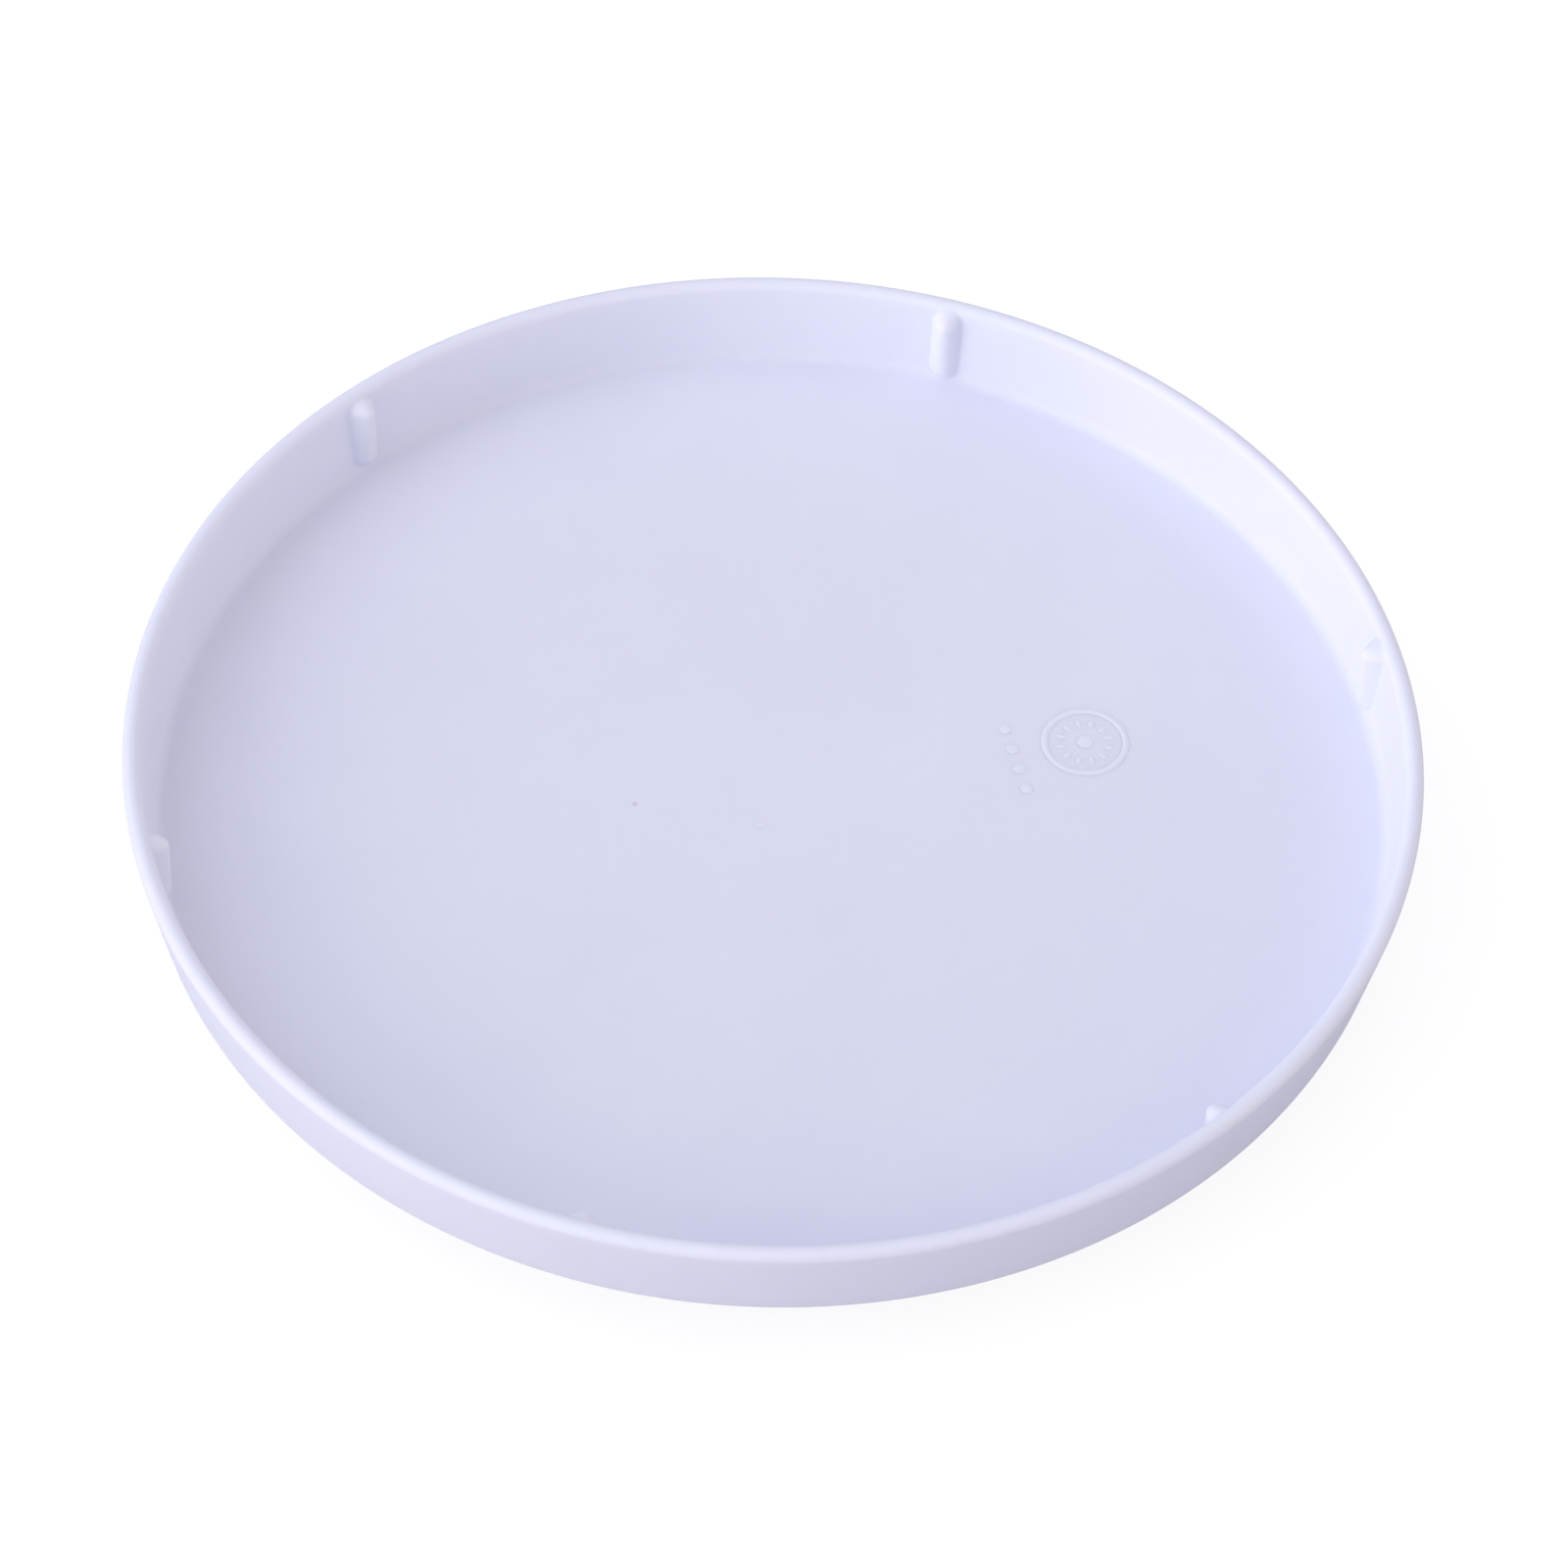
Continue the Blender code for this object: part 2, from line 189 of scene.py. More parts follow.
def turned_mesh(outline, angles, closed=False):
    """A bmesh of an outline swept round Z. The outline runs down the outer side of the piece."""
    bm = bmesh.new()
    rings = []
    for radius, height in outline:
        if radius < ON_AXIS:
            rings.append([bm.verts.new((0.0, 0.0, height))] * len(angles))
            continue
        ring = []
        for angle in angles:
            ring.append(bm.verts.new((radius * math.cos(angle), radius * math.sin(angle), height)))
        rings.append(ring)
    pairs = list(zip(rings, rings[1:]))
    if closed:
        pairs.append((rings[-1], rings[0]))
    for upper, lower in pairs:
        for index in range(len(angles)):
            following = (index + 1) % len(angles)
            corners = (upper[index], lower[index], lower[following], upper[following])
            bm.faces.new(dict.fromkeys(corners))
    return bm


def even_angles(count):
    """Angles that divide the circle evenly."""
    return [math.tau * index / count for index in range(count)]


def finished(name, bm, finish, sharp_angle=40.0):
    """Make the object of a piece from its bmesh, shaded smooth except across sharp edges."""
    mesh = bpy.data.meshes.new(name)
    bmesh.ops.recalc_face_normals(bm, faces=bm.faces)
    bm.to_mesh(mesh)
    bm.free()
    mesh.shade_smooth()
    mesh.set_sharp_from_angle(angle=math.radians(sharp_angle))
    mesh.materials.append(finish.material)
    piece = bpy.data.objects.new(name, mesh)
    bpy.context.scene.collection.objects.link(piece)
    return piece


def install(piece, node, body):
    """Put a piece in the place of its CAD node."""
    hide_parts(node)
    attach(piece, body)


def middle_of(node):
    """The middle of a CAD node's box."""
    low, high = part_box(node)
    return (low + high) / 2.0


def foot_rubber():
    """Matt rubber: a fine spark-eroded grain, dusty in its hollows."""
    finish = Finish("foot_rubber", Roughness=0.78, Specular_IOR_Level=0.35)
    grain = finish.noise(5200.0, 3.0)
    dust = finish.noise(420.0, 4.0, 0.6).ramp(0.45, 0.75)
    finish.set("Base Color", finish.tint(dust * 0.5, FOOT_COLOUR, FOOT_DUST))
    finish.set("Roughness", 0.72 + grain * 0.14)
    finish.bump(grain, 0.03 * MM)
    return finish


foot_low, foot_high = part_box("foot_1")
foot_r = (foot_high.x - foot_low.x) / 2.0
foot_finish = foot_rubber()
foot_outline = rounded([
    (0.0, foot_high.z),
    (foot_r, foot_high.z, 0.2 * MM),
    (foot_r, 0.0, 0.45 * MM),
    (3.9 * MM, 0.0),
    (3.7 * MM, GRIP_DEPTH, 0.12 * MM),
    (3.3 * MM, GRIP_DEPTH, 0.12 * MM),
    (3.1 * MM, 0.0),
    (1.9 * MM, 0.0),
    (1.7 * MM, GRIP_DEPTH, 0.12 * MM),
    (1.3 * MM, GRIP_DEPTH, 0.12 * MM),
    (1.1 * MM, 0.0),
    (0.0, 0.0),
], steps=3, hold=0.03 * MM)
for number in range(1, FOOT_COUNT + 1):
    node = f"foot_{number}"
    bm = turned_mesh(foot_outline, even_angles(64))
    centre = middle_of(node)
    bmesh.ops.translate(bm, vec=(centre.x, centre.y, 0.0), verts=bm.verts)
    install(finished(f"rubber_foot_{number}", bm, foot_finish), node, "base")


# ---- Base ------------------------------------------------------------------------------------------
# A round dish moulded in the same white polypropylene as the tray. Its floor carries the lower ball
# race, six pairs of stiffening webs and the hub; its upright skirt hides the bearing.

BASE_COLOUR = (0.800, 0.810, 0.925, 1.0)
BASE_SHADE = (0.780, 0.788, 0.905, 1.0)
RACE_R = 3.15 * MM
RACE_EDGE = 1.95 * MM
RACE_HALF_WIDTH = 5.0 * MM
RACE_ARC = (38.0, 142.0)
BASE_FLOOR_Z = 3.6 * MM
SKIRT_TOP_Z = 11.0 * MM
SKIRT_T = 2.1 * MM
SKIRT_LEAN = 0.6 * MM
HUB_R = 13.5 * MM
HUB_NECK_R = 11.0 * MM
HUB_STEP_Z = 9.0 * MM
BUSH_SEAT_R = 8.9 * MM
RECESS_R = 11.5 * MM
RECESS_Z = 7.0 * MM
WEB_T = 1.6 * MM
WEB_FOOT_Z = 3.1 * MM
WEB_TOP_Z = 5.0 * MM
WEB_RUNS = ((13.0 * MM, 45.5 * MM), (54.5 * MM, 67.8 * MM))
POCKET_R = 5.3 * MM
POCKET_TOP_Z = 2.2 * MM
POCKET_CUT = 2.0 * MM


def base_plastic():
    """Satin polypropylene with a fine spark-eroded grain, a little scuffed."""
    finish = Finish("base_plastic", Specular_IOR_Level=0.42, IOR=1.49, Subsurface_Weight=0.35)
    finish.shader.inputs["Subsurface Radius"].default_value = (1.0, 1.0, 1.1)
    finish.shader.inputs["Subsurface Scale"].default_value = 1.2 * MM
    grain = finish.noise(2600.0, 3.0)
    clouds = finish.noise(35.0, 3.0, 0.55).ramp(0.3, 0.7)
    scuffs = finish.noise(420.0, 4.0, 0.7, stretch=(1.0, 1.0, 7.0)).ramp(0.55, 0.85)
    finish.set("Base Color", finish.tint(clouds, BASE_COLOUR, BASE_SHADE))
    finish.set("Roughness", 0.46 + grain * 0.10 - scuffs * 0.12)
    finish.bump(grain, 0.012 * MM)
    return finish


def race_points(centre, start, end, steps=8):
    """Points of a race's groove, an arc round a ball's centre, from start to end in degrees."""
    points = []
    for step in range(steps + 1):
        turn = math.radians(start + (end - start) * step / steps)
        points.append((centre.x + RACE_R * math.cos(turn), centre.z + RACE_R * math.sin(turn)))
    return points


def box_mesh(low, high):
    """A bmesh box between two corners."""
    bm = bmesh.new()
    bmesh.ops.create_cube(bm, size=1.0)
    bm.transform(Matrix.Diagonal((*(high - low), 1.0)))
    bm.transform(Matrix.Translation((low + high) / 2.0))
    return bm


def merge(target, parts):
    """Copy the faces of other bmeshes into one."""
    for part in parts:
        spare = bpy.data.meshes.new("spare")
        part.to_mesh(spare)
        target.from_mesh(spare)
        part.free()
        bpy.data.meshes.remove(spare)
    return target


def shaped(bm, tool_bm, operation):
    """A bmesh with another one cut out of it, or joined to it."""
    holders = []
    for label, source in (("work", bm), ("tool", tool_bm)):
        mesh = bpy.data.meshes.new(label)
        source.to_mesh(mesh)
        source.free()
        holder = bpy.data.objects.new(label, mesh)
        bpy.context.scene.collection.objects.link(holder)
        holders.append(holder)
    work, tool = holders
    boolean = work.modifiers.new("shape", "BOOLEAN")
    boolean.operation = operation
    boolean.solver = "EXACT"
    boolean.object = tool
    graph = bpy.context.evaluated_depsgraph_get()
    result = bmesh.new()
    result.from_mesh(work.evaluated_get(graph).to_mesh())
    for holder in holders:
        spare = holder.data
        bpy.data.objects.remove(holder)
        bpy.data.meshes.remove(spare)
    return result


first_ball = middle_of("ball_01")
base_low, base_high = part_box("base")
race_z = first_ball.z - RACE_EDGE
hub_top = base_high.z
skirt_r = base_high.x
base_outline = rounded([
    (skirt_r, SKIRT_TOP_Z, 0.55 * MM),
    (skirt_r - SKIRT_LEAN, base_low.z, 1.2 * MM),
    (RECESS_R, base_low.z, 0.3 * MM),
    (RECESS_R, RECESS_Z, 0.2 * MM),
    (BUSH_SEAT_R, RECESS_Z, 0.2 * MM),
    (BUSH_SEAT_R, hub_top, 0.3 * MM),
    (HUB_NECK_R, hub_top, 0.4 * MM),
    (HUB_NECK_R, HUB_STEP_Z, 0.3 * MM),
    (HUB_R, HUB_STEP_Z, 0.4 * MM),
    (HUB_R, BASE_FLOOR_Z, 0.6 * MM),
    (first_ball.x - RACE_HALF_WIDTH, BASE_FLOOR_Z, 0.5 * MM),
    (first_ball.x - RACE_HALF_WIDTH, race_z, 0.3 * MM),
    *race_points(first_ball, -RACE_ARC[1], -RACE_ARC[0]),
    (first_ball.x + RACE_HALF_WIDTH, race_z, 0.3 * MM),
    (first_ball.x + RACE_HALF_WIDTH, BASE_FLOOR_Z, 0.5 * MM),
    (skirt_r - SKIRT_T - SKIRT_LEAN, BASE_FLOOR_Z, 0.8 * MM),
    (skirt_r - SKIRT_T, SKIRT_TOP_Z, 0.55 * MM),
], closed=True, steps=5)
base_mesh = turned_mesh(base_outline, even_angles(240), closed=True)
webs = []
for angle in even_angles(6):
    for start, end in WEB_RUNS:
        web_low = Vector((start, -WEB_T / 2.0, WEB_FOOT_Z))
        web_high = Vector((end, WEB_T / 2.0, WEB_TOP_Z))
        web = box_mesh(web_low, web_high)
        bmesh.ops.bevel(web, geom=web.edges[:], offset=0.2 * MM, segments=2, affect="EDGES")
        web.transform(Matrix.Rotation(angle, 4, "Z"))
        webs.append(web)
base_mesh = shaped(base_mesh, merge(bmesh.new(), webs), "UNION")
pockets = []
for number in range(1, FOOT_COUNT + 1):
    centre = middle_of(f"foot_{number}")
    pocket = bmesh.new()
    bmesh.ops.create_cone(
        pocket,
        cap_ends=True,
        segments=64,
        radius1=POCKET_R,
        radius2=POCKET_R,
        depth=POCKET_CUT,
    )
    pocket.transform(Matrix.Translation((centre.x, centre.y, POCKET_TOP_Z - POCKET_CUT / 2.0)))
    pockets.append(pocket)
base_mesh = shaped(base_mesh, merge(bmesh.new(), pockets), "DIFFERENCE")
base_finish = base_plastic()
install(finished("turntable_base", base_mesh, base_finish), "base", "base")


# ---- Pivot bush ------------------------------------------------------------------------------------
# A flanged bush turned from natural acetal and pressed into the hub from below.
# The tray's journal turns in its bore, and its flange takes the pull when the tray is lifted.

ACETAL_COLOUR = (0.80, 0.79, 0.73, 1.0)
ACETAL_SHADE = (0.74, 0.73, 0.66, 1.0)
BUSH_R = 8.6 * MM
BUSH_BORE_R = 7.1 * MM
FLANGE_T = 1.0 * MM


def acetal(name, turned_marks):
    """Natural acetal: ivory, waxy, with fine rings where it was turned on a lathe."""
    finish = Finish(name, Specular_IOR_Level=0.5, IOR=1.48, Subsurface_Weight=0.3)
    finish.shader.inputs["Subsurface Radius"].default_value = (1.0, 0.95, 0.85)
    finish.shader.inputs["Subsurface Scale"].default_value = 1.0 * MM
    clouds = finish.noise(120.0, 3.0).ramp(0.35, 0.7)
    grain = finish.noise(3000.0, 2.0)
    rings = finish.noise(1500.0, 2.0, stretch=(0.05, 0.05, 6.0))
    finish.set("Base Color", finish.tint(clouds, ACETAL_COLOUR, ACETAL_SHADE))
    finish.set("Roughness", 0.33 + rings * 0.16)
    finish.bump(rings * turned_marks + grain * (1.0 - turned_marks), 0.012 * MM)
    return finish


bush_low, bush_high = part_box("pivot_bush")
bush_outline = rounded([
    (BUSH_R, bush_high.z, 0.3 * MM),
    (BUSH_R, bush_low.z + FLANGE_T, 0.15 * MM),
    (bush_high.x, bush_low.z + FLANGE_T, 0.2 * MM),
    (bush_high.x, bush_low.z, 0.2 * MM),
    (BUSH_BORE_R, bush_low.z, 0.25 * MM),
    (BUSH_BORE_R, bush_high.z, 0.25 * MM),
], closed=True, steps=4)
bush_mesh = turned_mesh(bush_outline, even_angles(120), closed=True)
bush = finished("acetal_bush", bush_mesh, acetal("bush_acetal", 0.8))
install(bush, "pivot_bush", "base")


# ---- Ball cage -------------------------------------------------------------------------------------
# A flat ring moulded in natural acetal. Each ball snaps into a round pocket that is narrower at the
# ring's two faces than the ball, so the cage and its balls come out in one piece.

BALL_COUNT = 12
BALL_R = 3.0 * MM
BALL_POCKET_R = 3.3 * MM
CAGE_WIDTH = 12.0 * MM
CAGE_EDGE_R = 0.5 * MM

cage_low, cage_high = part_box("ball_cage")
cage_outline = rounded([
    (cage_high.x, cage_high.z, CAGE_EDGE_R),
    (cage_high.x, cage_low.z, CAGE_EDGE_R),
    (cage_high.x - CAGE_WIDTH, cage_low.z, CAGE_EDGE_R),
    (cage_high.x - CAGE_WIDTH, cage_high.z, CAGE_EDGE_R),
], closed=True, steps=5)
cage_mesh = turned_mesh(cage_outline, even_angles(240), closed=True)
pockets = []
for number in range(1, BALL_COUNT + 1):
    pocket = bmesh.new()
    bmesh.ops.create_uvsphere(pocket, u_segments=48, v_segments=32, radius=BALL_POCKET_R)
    pocket.transform(Matrix.Translation(middle_of(f"ball_{number:02d}")))
    pockets.append(pocket)
cage_mesh = shaped(cage_mesh, merge(bmesh.new(), pockets), "DIFFERENCE")
cage = finished("cage_ring", cage_mesh, acetal("cage_acetal", 0.1), 32.0)
install(cage, "ball_cage", "cage")


# ---- Balls -----------------------------------------------------------------------------------------
# Twelve 6 mm balls of hardened bearing steel, ground and polished, with a film of grease.

STEEL_COLOUR = (0.60, 0.60, 0.615, 1.0)
GREASE_COLOUR = (0.50, 0.47, 0.40, 1.0)


def bearing_steel():
    """Polished steel with hair-fine scratches and a thin, patchy film of grease."""
    finish = Finish("bearing_steel", Metallic=1.0, Coat_Roughness=0.15)
    film = finish.noise(380.0, 4.0, 0.6).ramp(0.48, 0.68)
    scratches = finish.noise(900.0, 6.0, 0.8, stretch=(1.0, 9.0, 1.0))
    finish.set("Base Color", finish.tint(film * 0.6, STEEL_COLOUR, GREASE_COLOUR))
    finish.set("Roughness", 0.07 + scratches * 0.07 + film * 0.12)
    finish.set("Coat Weight", film * 0.5)
    finish.bump(scratches, 0.001 * MM)
    return finish


ball_finish = bearing_steel()
for number in range(1, BALL_COUNT + 1):
    node = f"ball_{number:02d}"
    ball = bmesh.new()
    bmesh.ops.create_icosphere(ball, subdivisions=4, radius=BALL_R)
    ball.transform(Matrix.Translation(middle_of(node)))
    install(finished(f"steel_{node}", ball, ball_finish), node, node)


# ---- Tray ------------------------------------------------------------------------------------------
# A shallow dish, injection moulded in white polypropylene through one gate near its middle.
# Six half-round ribs stand inside its rim, and the upper ball race and the journal are under it.

TRAY_COLOUR = (0.800, 0.810, 0.925, 1.0)
TRAY_SHADE = (0.785, 0.794, 0.910, 1.0)
FLECK_COLOUR = (0.64, 0.63, 0.73, 1.0)
FLOOR_Z = 15.0 * MM
RIM_R = 1.42 * MM
RIM_OVERTURN = 8.0
WALL_INNER_FOOT_R = 95.82 * MM
WALL_OUTER_FOOT_R = 96.85 * MM
FOOT_EDGE_R = 1.6 * MM
FLOOR_FILLET_R = 2.0 * MM
RIB_COUNT = 6
RIB_FIRST = math.radians(15.0)
RIB_FINE = math.radians(2.0)
RIB_HALF_WIDTH = 2.5 * MM
RIB_FRONT_R = 94.25 * MM
RIB_END = 2.1 * MM
RIB_FOOT_RISE = 0.4 * MM
RIB_TOP_DROP = 0.8 * MM
TRAY_UNDER_Z = 13.0 * MM
BOSS_R = 9.0 * MM
BOSS_Z = 12.0 * MM
JOURNAL_R = 7.0 * MM
JOURNAL_FOOT_Z = 5.7 * MM
SCREW_HOLE_R = 2.2 * MM
SCREW_HOLE_TOP_Z = 13.2 * MM
GATE = Vector((-1.6 * MM, -5.2 * MM, FLOOR_Z))
FLECK = Vector((-21.2 * MM, -2.0 * MM, FLOOR_Z))


def tray_plastic(colour, shade):
    """Satin polypropylene: faint flow marks round the gate, a fine grain and one dark fleck."""
    finish = Finish("tray_plastic", Specular_IOR_Level=0.30, IOR=1.49, Subsurface_Weight=0.5)
    finish.shader.inputs["Subsurface Radius"].default_value = (1.0, 1.0, 1.1)
    finish.shader.inputs["Subsurface Scale"].default_value = 1.5 * MM
    grain = finish.noise(3600.0, 2.0)
    clouds = finish.noise(28.0, 3.0, 0.55)
    ripple = finish.noise(75.0, 2.0, 0.4)
    rubbed = finish.noise(160.0, 5.0, 0.65).ramp(0.45, 0.8)
    fleck = finish.distance(FLECK).ramp(0.6 * MM, 0.15 * MM)
    flow = finish.noise(300.0, 3.0, 0.6) * finish.distance(GATE).ramp(48.0 * MM, 8.0 * MM)
    plastic = finish.tint(clouds.ramp(0.3, 0.7), colour, shade)
    finish.set("Base Color", finish.tint(fleck, plastic, FLECK_COLOUR))
    finish.set("Roughness", 0.45 + rubbed * 0.10 + grain * 0.05)
    finish.bump(grain * 0.1 + ripple * 0.7 + flow * 0.2, 0.05 * MM)
    return finish


def rib_angles():
    """The ribs' places round the rim, evenly spaced from the first, which is near +X."""
    return [RIB_FIRST + math.tau * index / RIB_COUNT for index in range(RIB_COUNT)]


def tray_angles():
    """Columns of the tray's mesh: about one to the degree, and finer across each rib."""
    fine_steps = 44
    coarse_steps = 56
    gap = math.tau / RIB_COUNT - 2.0 * RIB_FINE
    angles = []
    for rib in rib_angles():
        for step in range(fine_steps):
            angles.append(rib - RIB_FINE + 2.0 * RIB_FINE * step / fine_steps)
        for step in range(coarse_steps):
            angles.append(rib + RIB_FINE + gap * step / coarse_steps)
    return angles


def rib_relief(angle, radius, height):
    """How far a rib stands out of the wall at a point of the wall's inner face.

    The wall leans outwards and a rib's front is upright, so the rib stands out furthest at its top.
    """
    low = FLOOR_Z + RIB_FOOT_RISE
    high = cad_high.z - RIB_TOP_DROP
    nearest = min(abs(math.remainder(angle - rib, math.tau)) for rib in rib_angles())
    across = nearest * radius / RIB_HALF_WIDTH
    end = max(0.0, 1.0 - min(height - low, high - height) / RIB_END)
    outwards = math.hypot(across, end)
    if outwards > 1.0:
        return 0.0
    return (radius - RIB_FRONT_R) * (1.0 - outwards ** 2.2) ** 1.15


tray_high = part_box("tray")[1]
rim_centre = Vector((tray_high.x - RIM_R, tray_high.z - RIM_R))
wall_top_r = rim_centre.x - RIM_R
wall_steps = 40
rim_steps = 16
inner_corners = [(0.0, FLOOR_Z), (WALL_INNER_FOOT_R, FLOOR_Z, FLOOR_FILLET_R), (wall_top_r, rim_centre.y)]
inner_outline = rounded(inner_corners, steps=10)
tray_outline = inner_outline[:-1]
for step in range(1, wall_steps + 1):
    tray_outline.append(inner_outline[-2].lerp(inner_outline[-1], step / wall_steps))
for step in range(1, rim_steps + 1):
    turn = math.radians(180.0 - (180.0 + RIM_OVERTURN) * step / rim_steps)
    tray_outline.append(rim_centre + RIM_R * Vector((math.cos(turn), math.sin(turn))))
tray_outline += rounded([
    tuple(tray_outline[-1]),
    (WALL_OUTER_FOOT_R, TRAY_UNDER_Z, FOOT_EDGE_R),
    (first_ball.x + RACE_HALF_WIDTH, TRAY_UNDER_Z, 0.5 * MM),
    (first_ball.x + RACE_HALF_WIDTH, first_ball.z + RACE_EDGE, 0.3 * MM),
    *race_points(first_ball, *RACE_ARC),
    (first_ball.x - RACE_HALF_WIDTH, first_ball.z + RACE_EDGE, 0.3 * MM),
    (first_ball.x - RACE_HALF_WIDTH, TRAY_UNDER_Z, 0.5 * MM),
    (BOSS_R + 0.5 * MM, TRAY_UNDER_Z, 0.3 * MM),
    (BOSS_R, BOSS_Z, 0.2 * MM),
    (JOURNAL_R, BOSS_Z, 0.2 * MM),
    (JOURNAL_R, JOURNAL_FOOT_Z, 0.4 * MM),
    (SCREW_HOLE_R, JOURNAL_FOOT_Z, 0.15 * MM),
    (SCREW_HOLE_R, SCREW_HOLE_TOP_Z),
    (0.0, SCREW_HOLE_TOP_Z),
], steps=5)[1:]
tray_mesh = turned_mesh(tray_outline, tray_angles())
for vertex in tray_mesh.verts:
    radius = math.hypot(vertex.co.x, vertex.co.y)
    rise = (vertex.co.z - FLOOR_Z) / (rim_centre.y - FLOOR_Z)
    inner_r = WALL_INNER_FOOT_R + (wall_top_r - WALL_INNER_FOOT_R) * min(rise, 1.0)
    if rise > 0.0 and RIB_FRONT_R - RIB_END < radius < inner_r + RIM_R / 2.0:
        relief = rib_relief(math.atan2(vertex.co.y, vertex.co.x), radius, vertex.co.z)
        vertex.co.x *= 1.0 - relief / radius
        vertex.co.y *= 1.0 - relief / radius
tray_finish = tray_plastic(TRAY_COLOUR, TRAY_SHADE)
tray = finished("turning_tray", tray_mesh, tray_finish, 75.0)
install(tray, "tray", "tray")


# ---- Moulding marks --------------------------------------------------------------------------------
# The tray's mould leaves a low ring with twelve ticks from an insert in its floor, a row of four
# dots that tell the cavities apart, and the faint stub of the gate where the plastic came in.

MARK_PLACE = Vector((48.6 * MM, 14.7 * MM, FLOOR_Z))
DOTS_PLACE = Vector((37.8 * MM, 10.6 * MM, FLOOR_Z))
MARK_TURN = math.radians(16.0)
MARK_RISE = 0.08 * MM
MARK_SUNK = 0.05 * MM
TICK_RISE = 0.06 * MM
TICK_R = 0.55 * MM
TICK_STRETCH = 1.9
TICK_CIRCLE_R = 3.9 * MM
TICK_COUNT = 12
DOT_R = 1.25 * MM
DOT_PITCH = 4.2 * MM
# The marks are the tray's own plastic. Their lighter colour is a painted highlight for the light that the
# raised marks catch.
MARK_PAINTED_HIGHLIGHT_COLOUR = (0.835, 0.845, 0.95, 1.0)


def swollen(start, end, rise, steps=10):
    """The (radius, height) points of a soft swelling from one radius to another."""
    points = []
    for step in range(steps + 1):
        share = step / steps
        height = rise * math.sin(math.pi * share) ** 2 - MARK_SUNK * abs(2.0 * share - 1.0) ** 6
        points.append((start + (end - start) * share, height))
    return points


def low_ring(radius, width):
    """A low ring that swells softly out of the floor."""
    points = swollen(radius + width / 2.0, radius - width / 2.0, MARK_RISE)
    return turned_mesh(points, even_angles(120), closed=True)


def low_button(radius, rise):
    """A low round button that swells softly out of the floor."""
    half_steps = 5
    points = swollen(radius, -radius, rise, 2 * half_steps)[:half_steps + 1]
    return turned_mesh([(0.0, -MARK_SUNK), *points], even_angles(32))


mark_parts = [low_ring(6.4 * MM, 1.3 * MM), low_button(1.7 * MM, 0.05 * MM)]
for angle in even_angles(TICK_COUNT):
    tick = low_button(TICK_R, TICK_RISE)
    tick.transform(Matrix.Diagonal((TICK_STRETCH, 1.0, 1.0, 1.0)))
    tick.transform(Matrix.Translation((TICK_CIRCLE_R, 0.0, 0.0)))
    tick.transform(Matrix.Rotation(angle, 4, "Z"))
    mark_parts.append(tick)
mark_mesh = merge(bmesh.new(), mark_parts)
mark_mesh.transform(Matrix.Translation(MARK_PLACE) @ Matrix.Rotation(MARK_TURN, 4, "Z"))
dots = []
for index in range(4):
    dot = low_button(DOT_R, MARK_RISE)
    along = Matrix.Rotation(MARK_TURN, 4, "Z") @ Vector((0.0, (index - 1.5) * DOT_PITCH, 0.0))
    dot.transform(Matrix.Translation(DOTS_PLACE + along))
    dots.append(dot)
gate = low_button(0.9 * MM, 0.02 * MM)
gate.transform(Matrix.Translation(GATE))
# The marks' finish uses the painted highlight colour, clouded with the tray's colour.
mark_painted_highlight_finish = tray_plastic(MARK_PAINTED_HIGHLIGHT_COLOUR, TRAY_COLOUR)
mark_painted_highlight_finish.shader.inputs["Subsurface Weight"].default_value = 0.0
marks = finished("tray_mould_marks", merge(mark_mesh, [*dots, gate]), mark_painted_highlight_finish)
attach(marks, "tray")


# ---- Retaining washer ------------------------------------------------------------------------------
# A punched steel washer with a zinc finish, clamped under the journal by the screw.
# It is wider than the bush's bore, so the tray can't lift off the base.

ZINC_COLOUR = (0.57, 0.585, 0.61, 1.0)
ZINC_SHADE = (0.47, 0.485, 0.50, 1.0)
WASHER_HOLE_R = 2.2 * MM


def zinc_steel():
    """Zinc-plated steel: bluish and satin, with the plating's fine mottle."""
    finish = Finish("zinc_steel", Metallic=1.0)
    mottle = finish.noise(900.0, 4.0, 0.6).ramp(0.35, 0.7)
    brushed = finish.noise(2400.0, 3.0, stretch=(1.0, 0.2, 1.0))
    finish.set("Base Color", finish.tint(mottle, ZINC_COLOUR, ZINC_SHADE))
    finish.set("Roughness", 0.26 + mottle * 0.14 + brushed * 0.06)
    finish.bump(brushed, 0.003 * MM)
    return finish


zinc_finish = zinc_steel()
washer_low, washer_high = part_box("retaining_washer")
washer_outline = rounded([
    (washer_high.x, washer_high.z, 0.25 * MM),
    (washer_high.x, washer_low.z, 0.08 * MM),
    (WASHER_HOLE_R, washer_low.z, 0.08 * MM),
    (WASHER_HOLE_R, washer_high.z, 0.2 * MM),
], closed=True, steps=4, hold=0.03 * MM)
washer_mesh = turned_mesh(washer_outline, even_angles(120), closed=True)
washer = finished("steel_washer", washer_mesh, zinc_finish)
install(washer, "retaining_washer", "tray")


# ---- Pivot screw -----------------------------------------------------------------------------------
# A self-tapping pan-head screw with a coarse rolled thread, driven up into the journal from below.

THREAD_PITCH = 1.4 * MM
THREAD_CORE_R = 1.42 * MM
THREAD_CREST_R = 1.88 * MM
THREAD_ROWS = 96
RIDGE_HALF_SHARE = 0.28
HEAD_H = 1.6 * MM
NECK_H = 0.3 * MM
TIP_H = 0.2 * MM
RECESS_MOUTH_R = 3.1 * MM
RECESS_TIP_R = 1.7 * MM
RECESS_CUT = 2.0 * MM
RECESS_THINNESS = 0.19

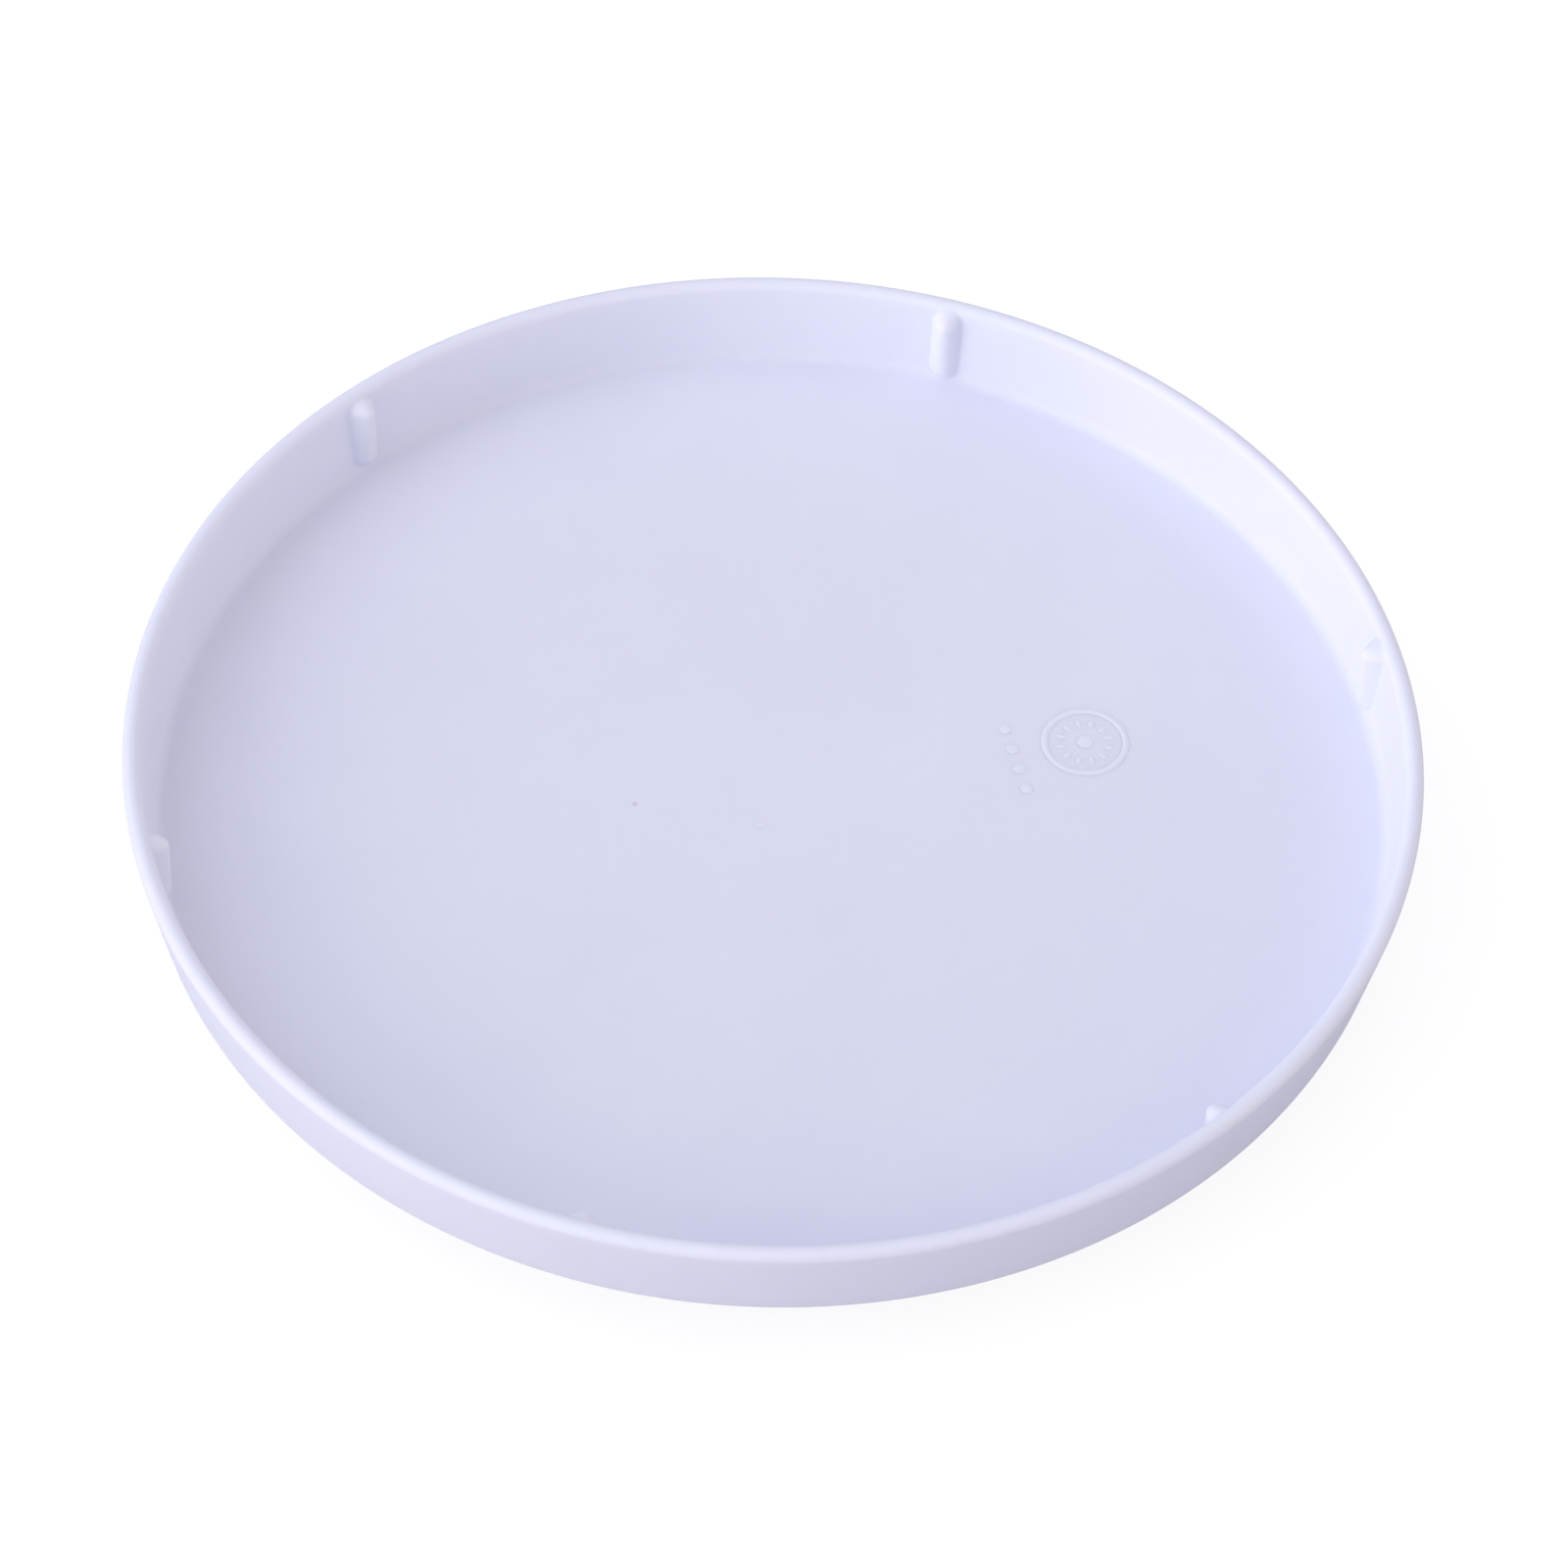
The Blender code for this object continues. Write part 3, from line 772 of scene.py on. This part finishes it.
screw_low, screw_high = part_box("pivot_screw")
head_top = screw_low.z + HEAD_H
thread_top = screw_high.z - TIP_H
thread_foot = head_top + NECK_H
screw_outline = [Vector((0.0, screw_high.z)), Vector((0.15 * MM, screw_high.z - TIP_H / 2.0))]
for step in range(THREAD_ROWS + 1):
    height = thread_top + (thread_foot - thread_top) * step / THREAD_ROWS
    taper = min(1.0, (screw_high.z - height) / (1.6 * MM))
    screw_outline.append(Vector((THREAD_CORE_R * (0.25 + 0.75 * taper), height)))
screw_outline += rounded([
    (THREAD_CORE_R, head_top + 0.25 * MM),
    (THREAD_CORE_R, head_top, 0.2 * MM),
    (screw_high.x, head_top, 0.25 * MM),
    (screw_high.x, screw_low.z + 0.55 * MM, 0.5 * MM),
    (screw_high.x - 1.0 * MM, screw_low.z, 0.8 * MM),
    (0.0, screw_low.z),
], steps=5, hold=0.03 * MM)
screw_mesh = turned_mesh(screw_outline, even_angles(48))
for vertex in screw_mesh.verts:
    radius = math.hypot(vertex.co.x, vertex.co.y)
    if vertex.co.z < thread_foot or radius < 0.2 * MM:
        continue
    from_tip = screw_high.z - vertex.co.z
    turns = from_tip / THREAD_PITCH + math.atan2(vertex.co.y, vertex.co.x) / math.tau
    ridge = max(0.0, 1.0 - abs(turns % 1.0 - 0.5) / RIDGE_HALF_SHARE)
    fade = min(1.0, from_tip / (1.8 * MM), (vertex.co.z - thread_foot) / (0.8 * MM))
    grown = radius + (THREAD_CREST_R - THREAD_CORE_R) * ridge * fade
    vertex.co.x *= grown / radius
    vertex.co.y *= grown / radius
for angle in (0.0, math.pi / 2.0):
    recess = bmesh.new()
    bmesh.ops.create_cone(
        recess,
        cap_ends=True,
        segments=4,
        radius1=RECESS_MOUTH_R,
        radius2=RECESS_TIP_R,
        depth=RECESS_CUT,
    )
    recess.transform(Matrix.Rotation(math.pi / 4.0, 4, "Z"))
    recess.transform(Matrix.Diagonal((1.0, RECESS_THINNESS, 1.0, 1.0)))
    recess.transform(Matrix.Translation((0.0, 0.0, screw_low.z)))
    recess.transform(Matrix.Rotation(angle, 4, "Z"))
    screw_mesh = shaped(screw_mesh, recess, "DIFFERENCE")
screw = finished("steel_screw", screw_mesh, zinc_finish, 35.0)
install(screw, "pivot_screw", "tray")


# ---- Hub cap ---------------------------------------------------------------------------------------
# A plug moulded in the base's plastic. Its skirt snaps into the recess under the hub, and a shallow
# dish in its face, with a raised button, lets a thumb press it home.

CAP_T = 1.0 * MM
DISH_DEPTH = 0.35 * MM

cap_low, cap_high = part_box("hub_cap")
cap_outline = rounded([
    (0.0, cap_low.z + CAP_T),
    (cap_high.x - 1.0 * MM, cap_low.z + CAP_T, 0.2 * MM),
    (cap_high.x - 0.9 * MM, cap_high.z, 0.2 * MM),
    (cap_high.x - 0.25 * MM, cap_high.z, 0.2 * MM),
    (cap_high.x, cap_low.z, 0.3 * MM),
    (8.2 * MM, cap_low.z, 0.3 * MM),
    (7.6 * MM, cap_low.z + DISH_DEPTH, 0.3 * MM),
    (2.0 * MM, cap_low.z + DISH_DEPTH, 0.2 * MM),
    (1.8 * MM, cap_low.z + 0.05 * MM, 0.2 * MM),
    (0.0, cap_low.z + 0.05 * MM),
], steps=4, hold=0.04 * MM)
cap_mesh = turned_mesh(cap_outline, even_angles(120))
install(finished("hub_plug", cap_mesh, base_finish), "hub_cap", "base")


# ---- Studio ----------------------------------------------------------------------------------------
# A pale seamless floor that glows a little, so that shadows on it stay faint, over matt card that
# throws light back up. Soft light all round, two large soft lights from the left, one from the right.

CAMERA_DISTANCE = 1.1003
CAMERA_ELEVATION = math.radians(49.35)
CAMERA_AZIMUTH = math.radians(0.24)
CAMERA_ROLL = math.radians(2.256)
LIGHT_WIDTH = math.radians(50.0)
ROOM_COLOUR = (0.600, 0.596, 0.657, 1.0)
FLOOR_GLOW = 0.84


def studio_paper(name, first, second, glow):
    """Matt paper, a little uneven, with this much light of its own."""
    finish = Finish(name, Roughness=0.9, Specular_IOR_Level=0.1)
    paper = finish.noise(40.0, 3.0)
    finish.set("Base Color", finish.tint(paper, first, second))
    finish.shader.inputs["Emission Color"].default_value = (1.0, 1.0, 1.0, 1.0)
    finish.shader.inputs["Emission Strength"].default_value = glow
    return finish


def studio_sheet(name, finish, height):
    """A wide level sheet, which isn't part of the turntable."""
    bm = bmesh.new()
    bmesh.ops.create_grid(bm, x_segments=8, y_segments=8, size=3.0)
    sheet = finished(name, bm, finish)
    sheet.location.z = height
    return sheet


def soft_light(name, azimuth, elevation, strength, colour):
    """A large soft light far off, at this compass angle from +X and height above the floor."""
    data = bpy.data.lights.new(name, "SUN")
    data.energy = strength
    data.color = colour
    data.angle = LIGHT_WIDTH
    light = bpy.data.objects.new(name, data)
    bpy.context.scene.collection.objects.link(light)
    turn, rise = math.radians(azimuth), math.radians(elevation)
    way = Vector((math.cos(turn) * math.cos(rise), math.sin(turn) * math.cos(rise), math.sin(rise)))
    light.location = way
    light.rotation_mode = "QUATERNION"
    light.rotation_quaternion = way.to_track_quat("Z", "Y")


floor_greys = (0.24, 0.24, 0.245, 1.0), (0.26, 0.26, 0.265, 1.0)
floor_finish = studio_paper("studio_floor", *floor_greys, FLOOR_GLOW)
floor = studio_sheet("studio_floor", floor_finish, -0.1 * MM)
floor.visible_diffuse = False
floor.visible_glossy = False
floor.visible_shadow = False
card_greys = (0.58, 0.58, 0.64, 1.0), (0.60, 0.60, 0.66, 1.0)
card_finish = studio_paper("bounce_card", *card_greys, 0.0)
card = studio_sheet("bounce_card", card_finish, -0.3 * MM)
card.visible_camera = False

world = bpy.data.worlds.new("studio")
bpy.context.scene.world = world
world.use_nodes = True
world.node_tree.nodes["Background"].inputs["Color"].default_value = ROOM_COLOUR
soft_light("low_key", 221.0, 12.0, 1.54, (1.0, 0.975, 0.87))
soft_light("high_key", 180.0, 48.0, 0.62, (0.93, 1.0, 1.24))
soft_light("fill", 0.0, 15.0, 0.54, (1.0, 0.87, 0.58))

camera_data = bpy.data.cameras.new("camera")
camera_data.lens = 162.69
camera_data.sensor_width = 36.0
camera_data.shift_x = 0.0078
camera_data.shift_y = 0.0101
camera_data.clip_start = 0.01
camera_data.clip_end = 20.0
camera = bpy.data.objects.new("camera", camera_data)
bpy.context.scene.collection.objects.link(camera)
camera_way = Vector((
    math.sin(CAMERA_AZIMUTH) * math.cos(CAMERA_ELEVATION),
    -math.cos(CAMERA_AZIMUTH) * math.cos(CAMERA_ELEVATION),
    math.sin(CAMERA_ELEVATION),
))
camera.location = Vector((0.0, 0.0, FLOOR_Z)) + camera_way * CAMERA_DISTANCE
camera.rotation_mode = "QUATERNION"
camera.rotation_quaternion = camera_way.to_track_quat("Z", "Y") @ Quaternion((0.0, 0.0, 1.0), CAMERA_ROLL)
bpy.context.scene.camera = camera
bpy.context.scene.view_settings.view_transform = "Standard"
